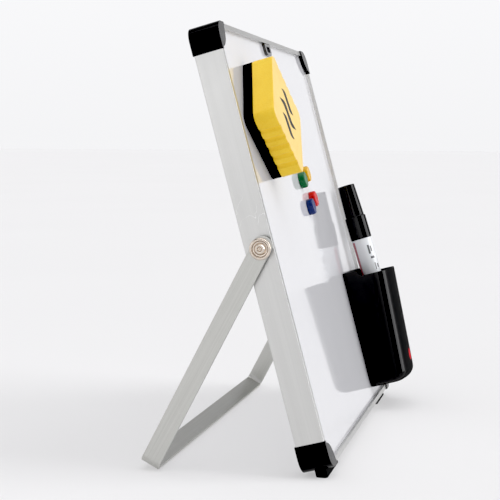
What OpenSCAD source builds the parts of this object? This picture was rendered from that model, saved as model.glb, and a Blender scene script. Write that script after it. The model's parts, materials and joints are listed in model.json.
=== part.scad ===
// Magnetic desk whiteboard that leans on a swivelling bail stand, with its eraser, four button
// magnets, a magnetic pen holder and a marker. The front faces -Y and the feet stand on z = 0.
// Pieces on the board are drawn in the board's own frame: x across, z up the board, y towards
// its back, with the origin on the axis of the stand's pivots. The finished board is then leaned.

/* [Board] */
// Width of the framed board
board_w = 254; // [230:1:400]
// Height of the framed board
board_h = 254; // [230:1:400]
// Depth of the frame from its front lip to its back lip
frame_t = 16.5; // [14.5:0.1:24]
// Angle that the board leans back from upright
lean = 15.2; // [8:0.2:22]
// Depth of each writing face below the lips of the frame
sheet_recess = 2; // [1.6:0.1:2.6]
// Thickness of each enamelled steel sheet
sheet_t = 0.4; // [0.3:0.05:0.8]

/* [Rails] */
// Thickness of the rail's outer web
web_t = 1.0; // [0.8:0.05:1.2]
// Width of the lips that cover the edge of each sheet
lip_w = 3.2; // [3:0.1:4.5]
// Thickness of the lips
lip_t = 1.0; // [0.8:0.05:1.1]
// Thickness of the bead that presses on the sheet
bead_t = 0.7; // [0.5:0.05:0.9]
// Room between the web and the edge of the panel
edge_gap = 1.4; // [1.3:0.05:1.6]
// Radius of the rail's outer edges
rail_edge_r = 0.5; // [0.2:0.05:0.8]

/* [Corner caps] */
// Length of rail that a corner cap takes the place of, along each side
cap_leg = 16; // [14:0.5:20]
// Radius of the cap's outer corner
cap_r = 9; // [6:0.5:10]
// Radius of the petals, measured from the board's corner
petal_r = 15; // [13:0.5:15]
// Thickness of the cap's outer wall
cap_wall = 1.9; // [1.7:0.05:2.1]
// How far the cap stands out past the outer face of the rails
cap_proud = 0.4; // [0.2:0.05:0.6]
// How far the cap's petals stand out past the lips
cap_lift = 0.7; // [0.4:0.05:1]
// Length of the prongs that are pushed into the rails
prong_l = 14; // [8:0.5:20]
// Width of the prongs
prong_w = 9; // [6:0.5:10]
// Thickness of the prongs
prong_t = 1.1; // [0.9:0.05:1.15]

/* [Feet] */
// Height of the frame's lowest edge above the table
floor_gap = 2.1; // [1.5:0.1:5]
// Length of each foot along the bottom rail
foot_l = 38; // [25:1:60]
// Depth of each foot from front to back
foot_d = 6.4; // [5:0.1:8]
// Distance from the side of the board to the foot
foot_inset = 5; // [4:0.5:12]
// Distance from the back of the frame to the foot
foot_setback = 5.6; // [4:0.1:6.5]
// Radius of the foot's upright corners
foot_r = 2; // [1:0.1:2.4]

/* [Hanging loop] */
// Width of the hanging loop
loop_w = 16; // [12:0.5:24]
// Length of the loop below the lip
loop_h = 7.6; // [7.2:0.1:10]
// Thickness of the loop
loop_t = 1.8; // [1.2:0.1:1.9]
// Width of the loop's window
window_w = 9; // [6:0.5:10]
// Height of the loop's window
window_h = 3.6; // [3:0.1:3.8]
// Width of the tab that is clipped behind the lip
tab_w = 11; // [8:0.5:12]

/* [Stand] */
// Width of the stand's flat bar
bar_w = 11.1; // [10:0.1:13]
// Thickness of the stand's flat bar
bar_t = 2.2; // [1.6:0.1:3]
// Gap between the frame's corners and the crossbar as they pass each other
bar_clear = 10.4; // [7:0.1:60]
// Radius inside the two bends
bend_r = 3; // [2:0.5:8]
// Distance from the pivot axis to the rounded tip of the arm
arm_tip = 7.4; // [6.8:0.1:9]
// Distance from the back of the frame to the pivot axis
pivot_back = 10; // [8:0.1:10.5]

/* [Pivots] */
// Radius of the rivet's shank
shank_r = 2.5; // [2:0.1:2.8]
// Radius of the cup washer under the rivet's head
cup_r = 6.1; // [5.5:0.1:7]
// Radius of the rolled rim of the cup washer
cup_rim_r = 0.95; // [0.7:0.05:1.1]
// Height of the rivet's head above the cup washer's base
rivet_head_h = 1.9; // [1.4:0.1:2.6]
// Radius of the spacer between the arm and the rail
spacer_r = 5.5; // [4.5:0.1:6]
// Thickness of the spacer
spacer_t = 2; // [1:0.05:3]
// Length of the anchor block inside the panel, along the rail
anchor_l = 24; // [18:1:40]
// Depth of the anchor block, inwards from the web
anchor_d = 12; // [9:0.5:18]
// Radial running clearance of the arm on the rivet
pivot_fit = 0.05; // [0.03:0.01:0.1]

/* [Eraser] */
// Length of the eraser's sides
eraser_side = 52; // [44:1:60]
// Radius of the eraser's upright corners
eraser_r = 5; // [3:0.5:8]
// Thickness of the felt pad
felt_t = 5.6; // [3:0.1:8]
// Thickness of the foam grip
grip_t = 12.8; // [9:0.1:18]
// Number of finger grooves on each ridged side
groove_count = 5; // [3:1:6]
// Distance between the grooves
groove_pitch = 7.2; // [6:0.1:8]
// Depth of the grooves
groove_depth = 1.1; // [0.5:0.1:1.6]
// Turn of the eraser on the board
eraser_turn = 45; // [0:1:90]
// Distance from the board's left side to the eraser's centre
eraser_from_left = 50.5; // [48:0.5:60]
// Distance from the board's top to the eraser's centre
eraser_from_top = 56; // [48:0.5:66]
// Radius of the magnet inside the eraser
eraser_magnet_r = 10; // [6:0.5:14]

/* [Button magnets] */
// Diameter of the button magnets
button_d = 10.5; // [8:0.1:13]
// Height of the button magnets
button_h = 4.2; // [3.6:0.1:8]
// Diameter of the magnet disc inside each button
disc_d = 7; // [5:0.1:7.2]
// Thickness of the magnet disc
disc_t = 2; // [1.5:0.1:2.6]

/* [Pen holder] */
// Width of the pen holder at its rim
holder_w = 54; // [48:0.5:70]
// How much deeper the pen holder is at its rim than at its bottom
holder_flare = 4; // [1:0.1:8]
// Room between the marker's foot and the pen holder's front
pen_room = 3.2; // [1:0.1:10]
// How far the front bulges past the corners
holder_bulge = 1.8; // [0.5:0.1:6]
// How much narrower each side is at the bottom
holder_taper = 1.2; // [0.5:0.1:2]
// Height of the pen holder to its side rim
holder_h = 77.7; // [60:0.1:100]
// Height of the raised back above the rim
holder_back_up = 4.2; // [3:0.1:6]
// Depth of the raised back
holder_back_d = 10.5; // [8:0.1:14]
// Thickness of the pen holder's side and front walls
holder_wall = 2; // [1.6:0.1:2.6]
// Thickness of the pen holder's floor
holder_floor = 2.6; // [2.2:0.1:4]
// Thickness of the back wall, which holds the magnets
holder_back_wall = 5.8; // [4:0.1:7]
// Radius along the pen holder's lower edges
holder_low_r = 6.5; // [4:0.5:7]
// Distance from the board's right side to the pen holder
holder_from_right = 12; // [8:0.5:30]
// Distance from the board's bottom to the pen holder
holder_from_bottom = 9.1; // [9:0.1:20]
// How far the loose pen holder is turned on the board, its top to the right
holder_turn = 2; // [0:0.5:4]
// Diameter of the pen holder's magnets
holder_magnet_d = 14; // [10:0.5:18]
// Thickness of the pen holder's magnets
holder_magnet_t = 2.4; // [1.5:0.1:2.6]

/* [Marker] */
// Diameter of the marker's barrel
barrel_d = 14.4; // [12:0.1:16]
// Length of the barrel from the marker's foot to the cap
barrel_l = 99.6; // [90:0.5:110]
// Thickness of the barrel's wall
barrel_wall = 1.2; // [0.9:0.1:1.4]
// Length of the neck that the cap is pushed on
neck_l = 13; // [10:0.5:15]
// Outer diameter of the cap's skirt
cap_skirt_d = 15.2; // [14.8:0.1:17]
// Length of the cap's skirt
cap_skirt_l = 16.5; // [15.5:0.1:20]
// Diameter of the cap just above the step
cap_neck_d = 13.4; // [12.8:0.1:14.4]
// Diameter of the cap's top
cap_top_d = 12.6; // [11.6:0.1:13]
// Length of the cap above the step
cap_upper_l = 23.5; // [19:0.1:30]
// Diameter of the writing nib
nib_d = 5; // [3.6:0.1:5.4]

/* [Hidden] */
$fn = 64;
touch = 0.05;          // gap between pieces that lie flat against each other
slip = 0.15;           // gap round pieces that are pushed in by hand
over = 1;              // how far a cutter reaches past what it cuts

// Panel and frame, measured from the pivot axis
front_y = pivot_back - frame_t;
back_y = pivot_back;
face_y = front_y + sheet_recess;
rear_y = back_y - sheet_recess;
mid_y = (front_y + back_y) / 2;
panel_t = rear_y - face_y;
core_t = panel_t - 2 * sheet_t;
panel_inset = web_t + edge_gap;
half_w = board_w / 2;
half_h = board_h / 2;

// Distance from the pivot axis to the outer face of the crossbar, past the frame's farthest corner
swing_r = norm([max(back_y, -front_y) + cap_lift, half_h + cap_proud]);
reach = swing_r + bar_clear + bar_t;

// Height of the pivot axis over the table, and the stand's angle from upright when it touches it
pivot_z = half_h * cos(lean) + back_y * sin(lean) + floor_gap;
heel = sqrt(pow(reach, 2) + pow(bar_w / 2, 2));
stand_angle = acos(pivot_z / heel) + atan(bar_w / 2 / reach);
arm_x = half_w + spacer_t;

// Cup washer and rivet, outwards from the arm
cup_base = 0.7;
head_foot_r = 3.5;
head_top_r = 2.4;
head_rim = 0.3;
pit_r = 1.4;
pit_depth = 1.3;
shank_chamfer = 0.4;
seat_x = arm_x + bar_t + touch;

// Pen holder, from its own back face and bottom, deep enough for the leaning marker
holder_x = half_w - holder_from_right - holder_w / 2;
holder_z = holder_from_bottom - half_h;
holder_corner_r = 3;
holder_rear_r = 2;
holder_steps = 5;
holder_magnet_z = 0.6 * holder_h;
holder_levels = [for (i = [0 : holder_steps]) holder_low_r * (1 - cos(90 * i / holder_steps))];

// Marker, in the pen holder's own frame: its foot is at the front by the right wall, and its barrel
// leans on the top edge of the back wall
holder_floor_bevel = 1.5;
marker_clear = 0.3;
holder_low_d = holder_back_wall + barrel_d + pen_room + 2 * marker_clear + holder_wall;
lean_h = holder_h + holder_back_up - holder_floor;
marker_lean = atan(pen_room / lean_h);
plug_rim = 0.8;
marker_x = holder_half(0) - holder_wall - holder_floor_bevel - barrel_d / 2 - marker_clear;
marker_y = holder_wall + marker_clear + barrel_d / 2 - holder_low_d;
marker_z = holder_floor + touch + (barrel_d / 2 - plug_rim) * sin(marker_lean);
plug_h = 3;
plug_spigot = 6;
neck_d = barrel_d - 2;
neck_bore_r = neck_d / 2 - barrel_wall;
collar_step = 0.2;
collar_lip = 1;
collar_cone = 2.4;
nib_out = 4;
nib_top = barrel_l + neck_l + collar_lip + collar_cone + nib_out;
cap_fit = 0.1;
cap_roof = 1.6;
cap_shelf = neck_l + collar_lip;
cap_bore_r = cap_top_d / 2 - barrel_wall;

// Button magnets: place on the board from its centre, across and up, and colour
BUTTONS = [
    [[2, 33.5], [0.0, 0.45, 0.2]],
    [[17, 37], [0.95, 0.8, 0.15]],
    [[20.5, 20], [0.85, 0.08, 0.08]],
    [[6.5, 15.5], [0.05, 0.18, 0.5]]
];

// Front and back reach of everything, to centre the finished object over its origin
function leaned_y(y, z) = y * cos(lean) + z * sin(lean);
holder_front = min([for (i = [0 : holder_steps])
    leaned_y(face_y - holder_depth(holder_levels[i], holder_inset(i)), holder_z + holder_levels[i])]);
stand_rear = reach * sin(stand_angle) + bar_w / 2 * cos(stand_angle);
centre_y = (holder_front + stand_rear) / 2;

// Stands the finished object on the table, centred over the origin.
module placed() {
    translate([0, -centre_y, pivot_z]) children();
}

// The board's own frame, leaned back about the pivot axis.
module on_board() {
    placed() rotate([-lean, 0, 0]) children();
}

// Turns a pattern drawn in x and y into one in x and z, and pulls it back from y to y + t.
module upright(y, t) {
    translate([0, y + t, 0]) rotate([90, 0, 0]) linear_extrude(t) children();
}

// Repeats a piece drawn for the right side on either side of the board.
module side(right) {
    mirror([right ? 0 : 1, 0, 0]) children();
}

// Rectangle round the origin with true arcs at its corners.
module rounded(w, h, r) {
    square([w - 2 * r, h], center = true);
    square([w, h - 2 * r], center = true);
    for (sx = [-1, 1], sy = [-1, 1]) translate([sx * (w / 2 - r), sy * (h / 2 - r)]) circle(r);
}

// Round rod or hole along x, from one x to another.
module along_x(from, to, r) {
    translate([from, 0, 0]) rotate([0, 90, 0]) cylinder(h = to - from, r = r);
}

// Section of a rail: u runs inwards from its outer face, v from the front lip to the back lip.
module rail_section() {
    difference() {
        intersection() {
            translate([lip_w / 2, frame_t / 2]) square([lip_w, frame_t], center = true);
            translate([lip_w, frame_t / 2]) rounded(2 * lip_w, frame_t, rail_edge_r);
        }
        translate([web_t, lip_t]) square([lip_w - bead_t - web_t, frame_t - 2 * lip_t]);
        translate([web_t, sheet_recess]) square([lip_w, panel_t]);
    }
}

// A rail of the given length along z, with its web at x = 0 and its mouth towards +x.
module rail(length) {
    translate([0, front_y, -length / 2]) linear_extrude(length) rail_section();
}

module side_rail(right) {
    color([0.86, 0.86, 0.85]) on_board() side(right) difference() {
        translate([half_w, 0, 0]) mirror([1, 0, 0]) rail(board_h - 2 * cap_leg);
        along_x(half_w - web_t - over, half_w + over, shank_r + pivot_fit);
    }
}

module rail_left() {
    side_rail(false);
}

module rail_right() {
    side_rail(true);
}

// The top rail's front bead is notched at the middle for the tab of the hanging loop.
module rail_top() {
    color([0.86, 0.86, 0.85]) on_board() difference() {
        translate([0, 0, half_h]) rotate([0, 90, 0]) rail(board_w - 2 * cap_leg);
        translate([-tab_w / 2 - slip, front_y + lip_t, half_h - lip_w - over])
            cube([tab_w + 2 * slip, sheet_recess - lip_t, lip_w - web_t + over]);
    }
}

module rail_bottom() {
    color([0.86, 0.86, 0.85]) on_board()
        translate([0, 0, -half_h]) rotate([0, -90, 0]) rail(board_w - 2 * cap_leg);
}

// Outline of the frame's corner, from the corner at the origin along +x and +y.
// inset moves it inwards from the outer face of the rails.
module corner_outline(inset, length) {
    r = cap_r - inset;
    translate([inset + r, inset]) square([length - inset - r, length - inset]);
    translate([inset, inset + r]) square([length - inset, length - inset - r]);
    translate([inset + r, inset + r]) intersection() {
        circle(r);
        translate([-r, -r]) square(r);
    }
}

// A corner cap, drawn with the corner at the origin and moved to the board's corner: outer wall,
// a petal on the front and on the back, and a prong for each rail.
module corner_cap(right, top) {
    prong_in = web_t + (edge_gap - prong_t) / 2;
    color([0.07, 0.07, 0.075]) on_board()
    mirror([right ? 1 : 0, 0, 0]) mirror([0, 0, top ? 1 : 0]) translate([-half_w, 0, -half_h]) {
        upright(front_y - cap_lift, frame_t + 2 * cap_lift) difference() {
            corner_outline(-cap_proud, cap_leg);
            corner_outline(cap_wall, cap_leg + over);
        }
        for (y = [front_y - cap_lift, rear_y + touch])
            upright(y, sheet_recess + cap_lift - touch) intersection() {
                corner_outline(-cap_proud, cap_leg);
                circle(petal_r);
            }
        for (flip = [0, 1]) mirror([flip, 0, -flip])
            translate([cap_leg - over, mid_y - prong_w / 2, prong_in])
                cube([prong_l + over, prong_w, prong_t]);
    }
}

module corner_cap_top_left() {
    corner_cap(false, true);
}

module corner_cap_top_right() {
    corner_cap(true, true);
}

module corner_cap_bottom_left() {
    corner_cap(false, false);
}

module corner_cap_bottom_right() {
    corner_cap(true, false);
}

// Outline of the panel inside the frame, rounded to pass behind the corner caps.
module panel_outline() {
    rounded(board_w - 2 * panel_inset, board_h - 2 * panel_inset, cap_r - panel_inset + slip);
}

module front_sheet() {
    color([0.96, 0.96, 0.97]) on_board() upright(face_y, sheet_t) panel_outline();
}

module back_sheet() {
    color([0.96, 0.96, 0.97]) on_board() upright(rear_y - sheet_t, sheet_t) panel_outline();
}

// Rigid filler between the sheets, notched at each side for the pivot anchor.
module core_panel() {
    color([0.72, 0.6, 0.42]) on_board() difference() {
        upright(face_y + sheet_t, core_t) panel_outline();
        for (right = [false, true]) side(right)
            translate([half_w - web_t - anchor_d - slip, face_y, -anchor_l / 2 - slip])
                cube([anchor_d, panel_t, anchor_l + 2 * slip]);
    }
}

// Flat plastic loop that lies on the sheet, with a thin tab clipped behind the top lip.
module hanging_loop() {
    tab_t = sheet_recess - lip_t - slip;
    tab_h = lip_w - web_t;
    low_r = loop_h / 2;
    color([0.05, 0.05, 0.05]) on_board() translate([0, 0, half_h - lip_w - touch]) {
        upright(face_y - loop_t, loop_t - touch) difference() {
            union() {
                translate([-loop_w / 2, low_r - loop_h]) square([loop_w, loop_h - low_r]);
                translate([low_r - loop_w / 2, -loop_h]) square([loop_w - 2 * low_r, loop_h]);
                for (s = [-1, 1]) translate([s * (loop_w / 2 - low_r), low_r - loop_h]) circle(low_r);
            }
            translate([0, -loop_h / 2]) rounded(window_w, window_h, window_h / 3);
        }
        translate([-tab_w / 2, face_y - tab_t, -over]) cube([tab_w, tab_t - touch, tab_h + over - touch]);
    }
}

// Rubber foot: follows the underside of the rail and cap, and its sole is level with the table.
module foot(right) {
    near_y = back_y - foot_setback;
    far_y = near_y - foot_d;
    low_z = -half_h - floor_gap - frame_t;
    color([0.04, 0.04, 0.04]) on_board() side(right) difference() {
        translate([half_w - foot_inset - foot_l / 2, (near_y + far_y) / 2, low_z])
            linear_extrude(cap_r - half_h - low_z) rounded(foot_l, foot_d, foot_r);
        rotate([lean, 0, 0]) translate([0, -board_h, -pivot_z - board_h])
            cube([board_w, 2 * board_h, board_h]);
        translate([0, front_y - over, -half_h]) cube([half_w - cap_leg, frame_t + 2 * over, board_h]);
        translate([half_w, 0, -half_h]) mirror([1, 0, 0]) upright(front_y - over, frame_t + 2 * over)
            corner_outline(-cap_proud, cap_leg + touch);
    }
}

module foot_left() {
    foot(false);
}

module foot_right() {
    foot(true);
}

// Block behind the rail's web that the rivet is set in, held between the two sheets.
module anchor(right) {
    color([0.85, 0.85, 0.82]) on_board() side(right) difference() {
        translate([half_w - web_t - anchor_d, face_y + sheet_t + touch, -anchor_l / 2])
            cube([anchor_d - touch, core_t - 2 * touch, anchor_l]);
        along_x(half_w - web_t - anchor_d - over, half_w, shank_r + pivot_fit);
    }
}

module anchor_left() {
    anchor(false);
}

module anchor_right() {
    anchor(true);
}

// Nylon spacer that keeps the arm clear of the corner caps.
module spacer(right) {
    color([0.2, 0.2, 0.2]) on_board() side(right) difference() {
        along_x(half_w + touch, arm_x - touch, spacer_r);
        along_x(half_w - over, arm_x + over, shank_r + pivot_fit);
    }
}

module spacer_left() {
    spacer(false);
}

module spacer_right() {
    spacer(true);
}

// Cup washer: a flat base with a rolled rim, whose hollow shows round the rivet's head.
module cup_washer(right) {
    color([0.75, 0.72, 0.68]) on_board() side(right) translate([seat_x, 0, 0]) rotate([0, 90, 0])
    rotate_extrude() {
        translate([shank_r + pivot_fit, 0]) square([cup_r - cup_rim_r - shank_r - pivot_fit, cup_base]);
        translate([cup_r - cup_rim_r, cup_rim_r]) circle(cup_rim_r);
    }
}

module cup_washer_left() {
    cup_washer(false);
}

module cup_washer_right() {
    cup_washer(true);
}

// Rivet with a conical head that has a pit in its middle, and a shank that ends in the anchor.
module pivot_rivet(right) {
    tail = seat_x - half_w + web_t + anchor_d - over;
    head_z = cup_base + touch;
    color([0.78, 0.74, 0.68]) on_board() side(right) translate([seat_x, 0, 0]) rotate([0, 90, 0])
    rotate_extrude() polygon([
        [0, -tail], [shank_r - shank_chamfer, -tail], [shank_r, shank_chamfer - tail],
        [shank_r, head_z], [head_foot_r, head_z], [head_foot_r, head_z + head_rim],
        [head_top_r, cup_base + rivet_head_h], [pit_r, cup_base + rivet_head_h],
        [pit_r / 2, cup_base + rivet_head_h - pit_depth], [0, cup_base + rivet_head_h - pit_depth]
    ]);
}

module pivot_rivet_left() {
    pivot_rivet(false);
}

module pivot_rivet_right() {
    pivot_rivet(true);
}

// Flat bar bent into a bail: two arms, a crossbar and a round eye on each pivot.
module stand() {
    outer_w = 2 * (arm_x + bar_t);
    inner_w = 2 * arm_x;
    eye_z = arm_tip - bar_w / 2;
    outer_r = bend_r + bar_t;
    color([0.78, 0.78, 0.76]) placed() rotate([stand_angle, 0, 0]) difference() {
        union() {
            upright(-bar_w / 2, bar_w) difference() {
                union() {
                    translate([-outer_w / 2, outer_r - reach]) square([outer_w, reach - outer_r + eye_z]);
                    translate([outer_r - outer_w / 2, -reach]) square([outer_w - 2 * outer_r, outer_r]);
                    for (s = [-1, 1]) translate([s * (outer_w / 2 - outer_r), outer_r - reach])
                        circle(outer_r);
                }
                translate([-inner_w / 2, outer_r - reach]) square([inner_w, reach - outer_r + eye_z + over]);
                translate([bend_r - inner_w / 2, bar_t - reach])
                    square([inner_w - 2 * bend_r, bend_r + over]);
                for (s = [-1, 1]) translate([s * (inner_w / 2 - bend_r), outer_r - reach]) circle(bend_r);
            }
            for (right = [false, true]) side(right)
                translate([0, 0, eye_z]) along_x(arm_x, arm_x + bar_t, bar_w / 2);
        }
        for (right = [false, true]) side(right)
            along_x(arm_x - over, arm_x + bar_t + over, shank_r + pivot_fit);
    }
}

// Places an eraser piece, drawn flat on x and y, with z out from the board's front face.
module on_face(x, z, turn = 0) {
    on_board() translate([x, face_y - touch, z]) rotate([90, 0, 0]) rotate([0, 0, turn]) children();
}

module on_eraser() {
    on_face(eraser_from_left - half_w, half_h - eraser_from_top, eraser_turn) children();
}

module eraser_felt() {
    color([0.05, 0.05, 0.05]) on_eraser() linear_extrude(felt_t) rounded(eraser_side, eraser_side, eraser_r);
}

// Foam grip with finger grooves down two opposite sides and a pocket for the magnet.
module eraser_grip() {
    groove_r = groove_pitch * 0.3;
    color([1, 0.82, 0.25]) on_eraser() translate([0, 0, felt_t]) difference() {
        linear_extrude(grip_t) difference() {
            rounded(eraser_side, eraser_side, eraser_r);
            for (s = [-1, 1], i = [0 : groove_count - 1])
                translate([s * (eraser_side / 2 + groove_r - groove_depth),
                           (i - (groove_count - 1) / 2) * groove_pitch]) circle(groove_r);
        }
        translate([0, 0, -over]) cylinder(h = grip_t / 4 + over, r = eraser_magnet_r + slip);
    }
}

module eraser_magnet() {
    color([0.25, 0.25, 0.27]) on_eraser() translate([0, 0, felt_t])
        cylinder(h = grip_t / 4 - slip, r = eraser_magnet_r);
}

// Plastic button with a rounded edge and a pocket in its back for the magnet disc.
module button(i) {
    edge_r = button_h * 0.28;
    r = button_d / 2;
    color(BUTTONS[i][1]) on_face(BUTTONS[i][0][0], BUTTONS[i][0][1]) difference() {
        rotate_extrude() {
            square([r, button_h - edge_r]);
            square([r - edge_r, button_h]);
            translate([r - edge_r, button_h - edge_r]) intersection() {
                circle(edge_r);
                square(edge_r);
            }
        }
        translate([0, 0, -over]) cylinder(h = disc_t + slip + over, r = disc_d / 2 + slip);
    }
}

module disc(i) {
    color([0.3, 0.3, 0.32]) on_face(BUTTONS[i][0][0], BUTTONS[i][0][1]) cylinder(h = disc_t, r = disc_d / 2);
}

module button_green() {
    button(0);
}

module button_yellow() {
    button(1);
}

module button_red() {
    button(2);
}

module button_blue() {
    button(3);
}

module disc_green() {
    disc(0);
}

module disc_yellow() {
    disc(1);
}

module disc_red() {
    disc(2);
}

module disc_blue() {
    disc(3);
}

// The pen holder flares towards its rim. Its sides, depth and bulge at a height above its bottom,
// and the inset that rounds its lower edges at one of the levels.
function holder_share(z) = 1 - min(z, holder_h) / holder_h;
function holder_half(z) = holder_w / 2 - holder_taper * holder_share(z);
function holder_corner_d(z) = holder_low_d + holder_flare * (1 - holder_share(z));
function holder_depth(z, inset) = holder_corner_d(z) + holder_bulge - inset;
function holder_inset(i) = holder_low_r * (1 - sin(90 * i / holder_steps));

// Outline of the pen holder, x across and y out from the board: round corners, bulged front.
module holder_outline(half, corner_d, front_d, rear_d, corner_r, rear_r) {
    for (s = [-1, 1]) {
        translate([s * (half - rear_r), rear_d + rear_r]) circle(rear_r, $fn = 24);
        translate([s * (half - corner_r), corner_d - corner_r]) circle(corner_r, $fn = 48);
    }
    bulge = front_d - corner_d;
    polygon([for (u = [-1 : 1 / 8 : 1]) [(half - corner_r) * u, corner_d + bulge * (1 - u * u)]]);
}

// One thin slice of the pen holder's outer or inner form, for the hull that joins the slices.
module holder_slice(z, inset, wall, rear) {
    translate([0, 0, z]) linear_extrude(touch)
        holder_outline(holder_half(z) - inset - wall, holder_corner_d(z) - inset - wall,
            holder_depth(z, inset) - wall, rear,
            max(holder_corner_r - inset / 2 - wall / 2, 1), wall > 0 ? 1 : holder_rear_r);
}

// Side view of what is cut from the top: the rim is low, and the back stays up with round shoulders.
module holder_top_cut() {
    r = holder_back_up * 0.7;
    difference() {
        translate([-over, holder_h]) square([2 * holder_low_d, holder_back_up + 2 * over]);
        translate([holder_back_d / 2, holder_h]) rounded(holder_back_d, 2 * holder_back_up, r);
        translate([holder_back_d, holder_h]) difference() {
            square(r);
            translate([r, r]) circle(r);
        }
    }
}

// The pen holder's own frame on the board: its origin is under the middle of its back face.
module on_holder() {
    on_board() translate([holder_x, face_y - touch, holder_z]) rotate([0, holder_turn, 0]) children();
}

// Moulded pen holder: tapered shell with a thick back wall that has two magnet pockets.
module pen_holder() {
    full_h = holder_h + holder_back_up;
    color([0.05, 0.05, 0.055]) on_holder() mirror([0, 1, 0]) difference() {
        hull() {
            for (i = [0 : holder_steps]) holder_slice(holder_levels[i], holder_inset(i), 0, 0);
            holder_slice(full_h - touch, 0, 0, 0);
        }
        hull() {
            holder_slice(holder_floor, holder_floor_bevel, holder_wall, holder_back_wall);
            holder_slice(holder_floor + holder_floor_bevel, 0, holder_wall, holder_back_wall);
            holder_slice(full_h + over, 0, holder_wall, holder_back_wall);
        }
        translate([-holder_w, 0, 0]) rotate([90, 0, 90]) linear_extrude(2 * holder_w) holder_top_cut();
        for (s = [-1, 1]) holder_pocket(s, holder_magnet_d / 2 + slip, holder_magnet_t + slip, over);
    }
}

// Round magnet, or its pocket, in the back wall left or right of the middle.
module holder_pocket(s, r, depth, below) {
    translate([s * holder_w / 4, -below, holder_magnet_z]) rotate([-90, 0, 0])
        cylinder(h = depth + below, r = r);
}

module holder_magnets() {
    color([0.3, 0.3, 0.32]) on_holder() mirror([0, 1, 0])
        for (s = [-1, 1]) holder_pocket(s, holder_magnet_d / 2, holder_magnet_t, 0);
}

// The marker leans back in the pen holder, with z = 0 at its foot.
module on_marker() {
    on_holder() translate([marker_x, marker_y, marker_z]) rotate([-marker_lean, 0, 0]) children();
}

module marker_barrel() {
    wide_from = plug_h + 2 * plug_spigot;
    color([0.93, 0.94, 0.95]) on_marker() rotate_extrude() difference() {
        union() {
            translate([0, plug_h]) square([barrel_d / 2, barrel_l - plug_h]);
            translate([0, plug_h]) square([neck_d / 2, barrel_l + neck_l - plug_h]);
        }
        square([neck_bore_r, barrel_l + neck_l + over]);
        translate([0, wide_from]) square([barrel_d / 2 - barrel_wall, barrel_l - wide_from - plug_h]);
    }
}

// Plug that closes the foot of the barrel, with a chamfered rim and a spigot.
module marker_end_plug() {
    color([0.06, 0.06, 0.06]) on_marker() rotate_extrude() {
        polygon([[0, 0], [barrel_d / 2 - plug_rim, 0], [barrel_d / 2, plug_rim],
                 [barrel_d / 2, plug_h - touch], [0, plug_h - touch]]);
        square([neck_bore_r - touch, plug_h + plug_spigot]);
    }
}

module marker_reservoir() {
    foot = plug_h + plug_spigot + touch;
    color([0.15, 0.15, 0.16]) on_marker() translate([0, 0, foot])
        cylinder(h = barrel_l - foot, r = neck_bore_r - slip);
}

// Collar that closes the neck and grips the nib.
module marker_collar() {
    r = neck_bore_r - touch;
    rim_r = neck_d / 2 - collar_step;
    color([0.06, 0.06, 0.06]) on_marker() translate([0, 0, barrel_l + neck_l]) rotate_extrude() difference() {
        polygon([[0, -neck_l / 2], [r, -neck_l / 2], [r, touch], [rim_r, touch],
                 [rim_r - collar_step, collar_lip], [nib_d / 2 + collar_lip, collar_lip + collar_cone],
                 [0, collar_lip + collar_cone]]);
        translate([0, -neck_l]) square([nib_d / 2, 2 * neck_l]);
    }
}

// Bullet nib that reaches from the reservoir out through the collar.
module marker_nib() {
    r = nib_d / 2 - touch;
    low = barrel_l + touch;
    color([0.05, 0.05, 0.05]) on_marker() rotate_extrude() {
        translate([0, low]) square([r, nib_top - r - low]);
        translate([0, nib_top - r]) intersection() {
            circle(r);
            square(r);
        }
    }
}

// Cap with a wide skirt, a step and a tapered top, bored for the neck and then for the seal.
module marker_cap() {
    edge = 0.4;
    top = cap_skirt_l + cap_upper_l;
    color([0.04, 0.04, 0.04]) on_marker() translate([0, 0, barrel_l + touch]) rotate_extrude() difference() {
        polygon([[0, 0], [cap_skirt_d / 2 - edge / 2, 0], [cap_skirt_d / 2, edge / 2],
                 [cap_skirt_d / 2, cap_skirt_l - edge], [cap_skirt_d / 2 - edge, cap_skirt_l],
                 [cap_neck_d / 2, cap_skirt_l], [cap_top_d / 2, top - edge], [cap_top_d / 2 - edge, top],
                 [0, top]]);
        translate([0, -over]) square([neck_d / 2 + cap_fit, cap_shelf + over]);
        polygon([[0, cap_shelf - touch], [neck_d / 2 + cap_fit, cap_shelf - touch],
                 [cap_bore_r, cap_shelf + collar_cone], [cap_bore_r, top - cap_roof], [0, top - cap_roof]]);
    }
}

// Liner cup inside the cap that closes round the nib and keeps it from drying.
module cap_seal() {
    low = cap_shelf + collar_cone + 2 * slip;
    nib_end = nib_top - barrel_l + over;
    color([0.9, 0.9, 0.9]) on_marker() translate([0, 0, barrel_l + touch]) rotate_extrude() difference() {
        translate([0, low]) square([cap_bore_r - touch, nib_end - low + over]);
        square([nib_d / 2 + 2 * slip, nib_end]);
    }
}

rail_left();
rail_right();
rail_top();
rail_bottom();
corner_cap_top_left();
corner_cap_top_right();
corner_cap_bottom_left();
corner_cap_bottom_right();
front_sheet();
back_sheet();
core_panel();
hanging_loop();
foot_left();
foot_right();
anchor_left();
anchor_right();
spacer_left();
spacer_right();
cup_washer_left();
cup_washer_right();
pivot_rivet_left();
pivot_rivet_right();
stand();
eraser_felt();
eraser_grip();
eraser_magnet();
button_green();
button_yellow();
button_red();
button_blue();
disc_green();
disc_yellow();
disc_red();
disc_blue();
pen_holder();
holder_magnets();
marker_barrel();
marker_end_plug();
marker_reservoir();
marker_collar();
marker_nib();
marker_cap();
cap_seal();
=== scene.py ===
import json
import math

import bmesh
import bpy
from mathutils import Matrix, Vector, noise

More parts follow.
